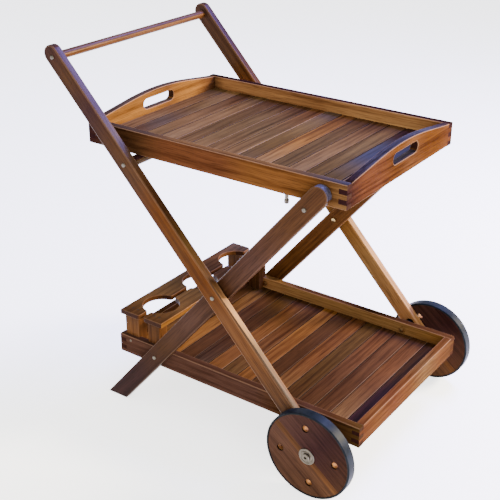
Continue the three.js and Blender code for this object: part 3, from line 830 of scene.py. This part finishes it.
# Tones of the slats from the rear one to the front one, each from its right end to its left end
TRAY_SHADES = (
    ("mauve", "rose", "bark"),
    ("umber", "grey", "bark", "rose"),
    ("bark", "rose", "umber"),
    ("mauve", "rose", "bark"),
    ("rose", "bark", "umber"),
    ("rose", "bark", "bark", "umber"),
    ("rose", "bark", "umber"),
    ("rose", "bark", "chestnut"),
    ("grey", "olive", "olive", "bark", "grey"),
    ("mauve", "amber", "chestnut"),
    ("bark", "bark", "umber"),
    ("mauve", "rose", "umber"),
    ("olive", "olive", "bark", "bark", "umber"),
    # The last two slats' bluish tones are a painted reflection of the sky
    ("olive", "olive", "grey", "slate", "slate", "plum", "plum"),
    ("slate", "rose", "slate", "slate", "plum"),
)
SHELF_SHADES = (
    ("amber", "bark", "umber"),
    ("grey", "umber", "umber"),
    ("amber", "amber", "bark"),
    ("umber", "umber", "umber"),
    ("grey", "umber", "umber", "olive"),
    ("ginger", "chestnut", "ginger", "ginger", "umber"),
    ("bark", "chestnut", "umber"),
    ("ginger", "ginger", "amber"),
    ("umber", "cocoa", "cocoa", "cocoa", "umber"),
    ("rose", "chestnut", "ginger", "chestnut"),
    ("umber", "olive", "olive", "olive"),
    ("umber", "umber", "umber", "chestnut", "umber"),
    ("umber", "cocoa", "umber", "umber"),
    ("rose", "umber", "chestnut", "umber"),
    ("plum", "plum", "plum", "cocoa", "cocoa", "cocoa"),
)

# How pale the front edge of a slat is, counted from 0 at the rear, where it shows as a pale line:
# partly wear, partly a painted highlight
TRAY_PALE_EDGE_HIGHLIGHTS = {3: 0.3, 5: 0.3, 7: 0.6}
SHELF_PALE_EDGE_HIGHLIGHTS = {5: 0.4, 12: 0.3, 13: 0.4}


def build_tray():
    near_rail = ("plum", "cocoa", "umber") + ("russet",) * 3 + ("ginger",) * 3 + ("rose",)
    near_top_light_and_shade = ("plum", "grey", "grey") + ("rose",) * 4 + ("grey", "slate")
    # The far rail's last plum is painted shade at its front end, and the rear end's last plum painted
    # shade in its far corner
    far_rail = ("umber",) + ("honey",) * 7 + ("straw",) * 5 + ("honey", "plum")
    front_end = ("plum", "russet", "russet", "sienna", "chestnut", "sienna", "sienna", "russet")
    front_top_light_and_shade = ("plum", "slate", "slate", "slate", "plum")
    rear_end = ("plum",) + ("amber",) * 4 + ("ginger", "amber", "amber", "ginger", "plum")
    held = {"slot": "tray_wood", "body": "tray"}
    jointed_board("tray_rail_right", FORWARD, 5, near_rail, **held, top=near_top_light_and_shade)
    jointed_board("tray_rail_left", FORWARD, 8, far_rail, **held, top="plum")
    jointed_board("tray_end_front", OUT, 6, front_end, **held, top=front_top_light_and_shade)
    jointed_board("tray_end_rear", OUT, 9, rear_end, **held, top="grey")
    build_deck("tray_deck", "tray_slats", TRAY_SHADES, TRAY_PALE_EDGE_HIGHLIGHTS, "slat_wood", "tray")


def build_shelf():
    near_rail = ("walnut",) * 7 + ("umber", "walnut", "umber", "olive")
    far_rail = ("straw",) * 2 + ("ochre",) * 3 + ("amber",)
    far_top_light_and_shade = ("straw", "ochre", "umber", "umber", "cocoa", "cocoa", "umber")
    front_end = ("russet", "chestnut", "russet", "chestnut", "rose", "chestnut", "umber")
    held = {"slot": "shelf_wood", "body": "frame"}
    rail = {**held, "shortest": 0.0025}
    jointed_board("shelf_rail_right", FORWARD, 7, near_rail, **rail, end_share=0.7)
    jointed_board("shelf_rail_left", FORWARD, 4, far_rail, **rail, top=far_top_light_and_shade)
    jointed_board("shelf_end_front", OUT, 10, front_end, **held)
    jointed_board("shelf_end_rear", OUT, 13, "umber", **held)
    build_deck("shelf_deck", "shelf_slats", SHELF_SHADES, SHELF_PALE_EDGE_HIGHLIGHTS, "slat_wood", "frame")


# How squarely a plank's and a post's front faces look forward; these faces take paler tones as painted
# light from the front
PLANK_FRONT_LOOK = 0.15
POST_FRONT_LOOK = 0.6

# Shorter edges of a post are left crisp
POST_EDGE = 0.004


def is_level(edge):
    return abs(edge.verts[0].co.z - edge.verts[1].co.z) < SAME_CORNER


def build_bottle_plank(place, number):
    node = f"bottle_plank_{place}"
    shape = merged_copy(node)
    rims = [edge for edge in shape.edges if is_corner(edge) and is_level(edge)]
    round_edges(shape, rims, sizes().plank_round)
    # The front faces' tone is painted light
    front = "chestnut" if place == "rear" else "amber"
    tones = (("umber", "rose", "bark", "umber", "umber", "grey"), front)

    def is_lit_front(face):
        return face.normal.x > PLANK_FRONT_LOOK

    number += FIRST_NUMBER["plank"]
    toned_board(shape, number, OUT, FORWARD, tones, is_lit_front, end_share=0.8)
    finish_piece(f"bottle_board_{place}", shape, "bottle_holder_wood", "frame", node)


def build_bottle_post(place, side, number):
    node = f"bottle_post_{place}_{side}"
    shape = merged_copy(node)
    rims = [edge for edge in shape.edges if is_corner(edge) and edge.calc_length() > POST_EDGE]
    round_edges(shape, rims, sizes().board_round / 2, segments=2)
    # The front faces' tone is painted light
    tones = (("umber", "chestnut", "umber"), "chestnut")

    def is_lit_front(face):
        return face.normal.x > POST_FRONT_LOOK

    toned_board(shape, FIRST_NUMBER["post"] + number, UP, FORWARD, tones, is_lit_front)
    finish_piece(f"bottle_block_{place}_{side}", shape, "bottle_holder_wood", "frame", node)


def build_bottle_holder():
    for number, place in enumerate(("rear", "front")):
        build_bottle_plank(place, number)
        for side in SIDES:
            build_bottle_post(place, side, number)


# Bars, wheels and fittings

# Steps of a full turn
BAR_STEPS = 48
TYRE_STEPS = 96
CAP_STEPS = 64
SCREW_STEPS = 20

# Each bar's tones below and on top; the darker top is a painted reflection of the sky
BAR_TONES = {
    "handle_bar": ("ginger", "walnut"),
    "rear_tray_bar": ("olive", "plum"),
    "front_tray_bar": ("olive", "plum"),
}
BAR_TOP_LOOK = 0.4


def build_bars():
    edge = sizes().bar_chamfer

    def is_upper(face):
        return face.normal.z > BAR_TOP_LOOK

    for number, (node, tones) in enumerate(BAR_TONES.items(), FIRST_NUMBER["bar"]):
        radius, length = round_size(node)
        profile = (
            (0.0, 0.0),
            (radius - edge, 0.0),
            (radius, edge),
            (radius, length - edge),
            (radius - edge, length),
            (0.0, length),
        )
        shape = turned(profile, end_of(node, -1), OUT, BAR_STEPS)
        toned_board(shape, number, OUT, FORWARD, tones, is_upper)
        finish_piece(f"{node}_round", shape, "bar_wood", "frame", node)


# Tones of a wheel disc: its three glued boards, then the walls and the mouths of its holes: painted
# light on the walls and painted shade at the mouths
DISC_TONES = (
    ("walnut", "plum", "cocoa"),
    ("umber", "umber", "chestnut"),
    ("walnut", "umber"),
    "honey",
    "tar",
)

# The disc's grain falls this much for each length forward
DISC_SLANT = 0.8

# A face of the disc looks along the axle by more than this, and a hole's walls lie this far
# inside the rim
DISC_FACE_LOOK = 0.5
RIM_INSET = 0.004


def build_disc(side, number):
    """A wheel's disc, glued up from three boards and pierced by four holes, with painted light on their
    walls and painted shade in their mouths.
    """
    node = f"wheel_disc_{side}"
    shape = merged_copy(node)
    low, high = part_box(node)
    hub = middle_of(node)
    rim = round_size(node)[0] - RIM_INSET
    along = (FORWARD - UP * DISC_SLANT).normalized()
    across = along.cross(OUT)
    first_joint = sizes().disc_joint
    joints = [hub + across * offset for offset in (first_joint, first_joint - sizes().disc_strip)]
    for joint in joints:
        cut_across(shape, joint, across)
    right_mouth = low.y + sizes().hole_mouth
    left_mouth = high.y - sizes().hole_mouth
    for depth in (right_mouth, left_mouth):
        cut_across(shape, Vector((hub.x, depth, hub.z)), OUT)

    def tone_of(face):
        centre = face.calc_center_median()
        from_hub = centre - hub
        is_wall = abs(face.normal.y) < DISC_FACE_LOOK
        if is_wall and math.hypot(from_hub.x, from_hub.z) < rim:
            # Walls take painted light, and their mouths painted shade
            return 3 if right_mouth < centre.y < left_mouth else 4
        return sum((centre - joint).dot(across) < 0 for joint in joints)

    toned_board(shape, number, along, across, DISC_TONES, tone_of)
    finish_piece(f"wheel_board_{side}", shape, "wheel_wood", f"wheel_{side}", node)


# The tyre's inner face lies this far off the disc, and its shoulders bend through these angles
TYRE_PLAY = 0.0003
SHOULDER_BENDS = [math.radians(degrees) for degrees in (0.0, 22.5, 45.0, 67.5, 90.0)]


def build_tyre(side):
    """A flat band with two rounded shoulders around the disc."""
    node = f"tyre_{side}"
    radius, width = round_size(node)
    inner = round_size(f"wheel_disc_{side}")[0] + TYRE_PLAY
    shoulder = sizes().tyre_round
    rising = [
        (radius - shoulder + shoulder * math.sin(bend), shoulder - shoulder * math.cos(bend))
        for bend in SHOULDER_BENDS
    ]
    falling = [
        (radius - shoulder + shoulder * math.cos(bend), width - shoulder + shoulder * math.sin(bend))
        for bend in SHOULDER_BENDS
    ]
    profile = ((inner, 0.0), *rising, *falling, (inner, width), (inner, 0.0))
    shape = turned(profile, end_of(node, -1), OUT, TYRE_STEPS)
    finish_piece(f"tyre_band_{side}", shape, "tyre_rubber", f"wheel_{side}", node)


def build_wheels():
    for number, side in enumerate(SIDES, FIRST_NUMBER["disc"]):
        build_disc(side, number)
        build_tyre(side)


# The middle, the groove and the raised rim of a pressed cap, in shares of its radius and height
CAP_SHARES = (
    (0.0, 0.0), (1.0, 0.0), (1.0, 0.45), (0.95, 0.75), (0.80, 0.85), (0.74, 0.45),
    (0.68, 0.45), (0.64, 0.80), (0.60, 1.0), (0.0, 1.0),
)

# A countersunk head with a recess for the driver, in shares of the head's radius
SCREW_SHARES = (
    (0.0, -1.0), (0.6, -1.0), (1.0, -0.06), (0.94, 0.03), (0.42, 0.03), (0.30, -0.35), (0.0, -0.35),
)

# The frame's nodes that only take a finish, by that finish
PLAIN_FITTINGS = {
    "spacer_wood": ("shelf_spacer",),
    "pins": ("tray_pin",),
    "brass_nuts": ("crossing_nut", "leg_shelf_nut", "arm_shelf_nut"),
    "steel_hardware": (
        "handle_bolt",
        "rear_bar_bolt",
        "front_bar_bolt",
        "crossing_bolt",
        "crossing_washer",
        "leg_shelf_bolt",
        "arm_shelf_bolt",
        "axle_washer",
        "axle_bolt",
        "axle_nut",
    ),
}


def build_hub_caps():
    for side, sign in SIDES.items():
        node = f"hub_cap_{side}"
        profile = scaled_profile(CAP_SHARES, *round_size(node))
        shape = turned(profile, end_of(node, -sign), OUT * sign, CAP_STEPS)
        body = f"wheel_{side}"
        finish_piece(f"hub_ring_{side}", shape, "steel_hardware", body, node, smooth_below=30.0)


def add_screw(screws, seat, axis):
    profile = scaled_profile(SCREW_SHARES, sizes().screw_radius, sizes().screw_radius)
    screw = turned(profile, seat, axis, SCREW_STEPS)
    spare = bpy.data.meshes.new("one_screw")
    screw.to_mesh(spare)
    screw.free()
    screws.from_mesh(spare)
    bpy.data.meshes.remove(spare)


def build_screws():
    """Two screws down through each plank's end into its post, and one through the rail beside it."""
    plank_screws = bmesh.new()
    rail_screws = bmesh.new()
    for place in ("rear", "front"):
        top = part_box(f"bottle_plank_{place}")[1].z
        for side, sign in SIDES.items():
            post = middle_of(f"bottle_post_{place}_{side}")
            for step in (-0.5, 0.5):
                seat = Vector((post.x + step * sizes().screw_spacing, post.y, top))
                add_screw(plank_screws, seat, UP)
            rail = f"shelf_rail_{side}"
            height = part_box(rail)[1].z - sizes().screw_drop
            add_screw(rail_screws, Vector((post.x, end_of(rail, sign).y, height)), OUT * sign)
    for name, screws, finish in (
        ("plank_screws", plank_screws, "blackened_screws"),
        ("rail_screws", rail_screws, "steel_hardware"),
    ):
        finish_piece(name, screws, "steel_hardware", "frame", finish=finish, smooth_below=30.0)


def build_fittings():
    build_hub_caps()
    build_screws()
    for finish, kinds in PLAIN_FITTINGS.items():
        for kind in kinds:
            for side in SIDES:
                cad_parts[f"{kind}_{side}"].material_slots[0].material = finish_of(finish)


# The stage

# The camera's place, the direction it looks in, and its lens in millimetres
CAMERA_PLACE = (1.1157, -1.6312, 1.3311)
CAMERA_LOOK = (-0.52282, 0.73081, -0.43884)
CAMERA_LENS = 69.77
SENSOR_WIDTH = 36.0
FARTHEST = 100.0

# The floor glows and the sky lights it evenly, so that both come out nearly white
FLOOR_SIZE = 30.0
FLOOR_GLOW = 2.3
FLOOR_ROUGHNESS = 0.9
SKY_STRENGTH = 0.95
WHITE = (1.0, 1.0, 1.0, 1.0)

# Each light's place, the place it shines at, its width and height, its power and its colour
LIGHTS = {
    "overhead": ((0.3, -0.3, 4.0), (0.0, 0.0, 0.0), (5.0, 5.0), 110.0, (1.0, 0.98, 0.95)),
    "window": ((3.2, -2.2, 1.9), (0.0, 0.0, 0.4), (2.2, 2.0), 75.0, (1.0, 0.93, 0.84)),
    "front_fill": ((-1.0, -3.4, 1.6), (0.0, 0.0, 0.4), (2.2, 2.0), 36.0, (1.0, 0.94, 0.86)),
    "blue_sky": ((0.6, 1.9, 2.85), (-0.25, -0.2, 0.7), (1.4, 1.0), 400.0, (0.22, 0.25, 1.0)),
    "pale_sky": ((2.0, 1.8, 1.4), (0.15, -0.25, 0.25), (0.8, 0.8), 350.0, (1.0, 0.87, 0.70)),
}


def placed(name, data, place, look):
    """An object in the scene at a place, turned to look in a direction."""
    thing = bpy.data.objects.new(name, data)
    thing.location = place
    thing.rotation_euler = Vector(look).to_track_quat("-Z", "Y").to_euler()
    bpy.context.scene.collection.objects.link(thing)
    return thing


def build_camera():
    data = bpy.data.cameras.new("view_camera")
    data.lens = CAMERA_LENS
    data.sensor_width = SENSOR_WIDTH
    data.clip_end = FARTHEST
    bpy.context.scene.camera = placed("view_camera", data, CAMERA_PLACE, CAMERA_LOOK)


def build_floor():
    mesh = bpy.data.meshes.new("floor")
    shape = bmesh.new()
    bmesh.ops.create_grid(shape, x_segments=1, y_segments=1, size=FLOOR_SIZE)
    shape.to_mesh(mesh)
    shape.free()
    material, _, shader = new_material("pale floor")
    shader.inputs["Base Color"].default_value = (*colour("floor"), 1.0)
    shader.inputs["Roughness"].default_value = FLOOR_ROUGHNESS
    shader.inputs["Emission Color"].default_value = WHITE
    shader.inputs["Emission Strength"].default_value = FLOOR_GLOW
    mesh.materials.append(material)
    floor = bpy.data.objects.new("floor", mesh)
    bpy.context.scene.collection.objects.link(floor)


def build_light(name, place, target, size, power, light_colour):
    data = bpy.data.lights.new(name, "AREA")
    data.shape = "RECTANGLE"
    data.size, data.size_y = size
    data.energy = power
    data.color = light_colour
    placed(name, data, place, Vector(target) - Vector(place))


def build_stage():
    build_camera()
    build_floor()
    world = bpy.data.worlds.new("studio")
    world.use_nodes = True
    sky = world.node_tree.nodes["Background"]
    sky.inputs["Color"].default_value = WHITE
    sky.inputs["Strength"].default_value = SKY_STRENGTH
    bpy.context.scene.world = world
    for name, settings in LIGHTS.items():
        build_light(name, *settings)


# Operators and panel


class TROLLEY_OT_stage(bpy.types.Operator):
    """Sets up the camera, the floor and the studio light"""

    bl_idname = "trolley.stage"
    bl_label = "Stage"

    def execute(self, context):
        build_stage()
        return {"FINISHED"}


class TROLLEY_OT_long_boards(bpy.types.Operator):
    """Makes the two arms and the two legs"""

    bl_idname = "trolley.long_boards"
    bl_label = "Arms and legs"

    def execute(self, context):
        build_long_boards()
        return {"FINISHED"}


class TROLLEY_OT_bars(bpy.types.Operator):
    """Makes the handle bar and the two bars under the tray"""

    bl_idname = "trolley.bars"
    bl_label = "Bars"

    def execute(self, context):
        build_bars()
        return {"FINISHED"}


class TROLLEY_OT_tray(bpy.types.Operator):
    """Makes the lift-off tray: two rails, two hand-slotted ends and fifteen slats"""

    bl_idname = "trolley.tray"
    bl_label = "Tray"

    def execute(self, context):
        build_tray()
        return {"FINISHED"}


class TROLLEY_OT_shelf(bpy.types.Operator):
    """Makes the lower shelf: two rails, two ends and fifteen slats"""

    bl_idname = "trolley.shelf"
    bl_label = "Shelf"

    def execute(self, context):
        build_shelf()
        return {"FINISHED"}


class TROLLEY_OT_bottle_holder(bpy.types.Operator):
    """Makes the bottle holder: two planks on four posts"""

    bl_idname = "trolley.bottle_holder"
    bl_label = "Bottle holder"

    def execute(self, context):
        build_bottle_holder()
        return {"FINISHED"}


class TROLLEY_OT_wheels(bpy.types.Operator):
    """Makes the two wheels: wooden discs and rubber tyres"""

    bl_idname = "trolley.wheels"
    bl_label = "Wheels"

    def execute(self, context):
        build_wheels()
        return {"FINISHED"}


class TROLLEY_OT_fittings(bpy.types.Operator):
    """Makes the hub caps and screws, and finishes the bolts, nuts, washers, spacers and pins"""

    bl_idname = "trolley.fittings"
    bl_label = "Fittings"

    def execute(self, context):
        build_fittings()
        return {"FINISHED"}


OPERATORS = (
    TROLLEY_OT_stage,
    TROLLEY_OT_long_boards,
    TROLLEY_OT_bars,
    TROLLEY_OT_tray,
    TROLLEY_OT_shelf,
    TROLLEY_OT_bottle_holder,
    TROLLEY_OT_wheels,
    TROLLEY_OT_fittings,
)


class TROLLEY_PT_panel(bpy.types.Panel):
    """Lists the trolley's pieces and the sizes and colours they take"""

    bl_idname = "TROLLEY_PT_panel"
    bl_label = "Serving Trolley"
    bl_space_type = "VIEW_3D"
    bl_region_type = "UI"
    bl_category = "Trolley"

    def draw(self, context):
        for operator in OPERATORS:
            self.layout.operator(operator.bl_idname)
        for settings in (context.scene.trolley_sizes, context.scene.trolley_colours):
            for name in settings.bl_rna.properties.keys():
                if name not in ("rna_type", "name"):
                    self.layout.prop(settings, name)


CLASSES = (TrolleySizes, TrolleyColours, *OPERATORS, TROLLEY_PT_panel)


def register():
    for item in CLASSES:
        bpy.utils.register_class(item)
    bpy.types.Scene.trolley_sizes = bpy.props.PointerProperty(type=TrolleySizes)
    bpy.types.Scene.trolley_colours = bpy.props.PointerProperty(type=TrolleyColours)


def unregister():
    del bpy.types.Scene.trolley_colours
    del bpy.types.Scene.trolley_sizes
    for item in reversed(CLASSES):
        bpy.utils.unregister_class(item)


def main():
    register()
    bpy.ops.trolley.stage()
    bpy.ops.trolley.long_boards()
    bpy.ops.trolley.bars()
    bpy.ops.trolley.tray()
    bpy.ops.trolley.shelf()
    bpy.ops.trolley.bottle_holder()
    bpy.ops.trolley.wheels()
    bpy.ops.trolley.fittings()


if __name__ == "__main__":
    main()
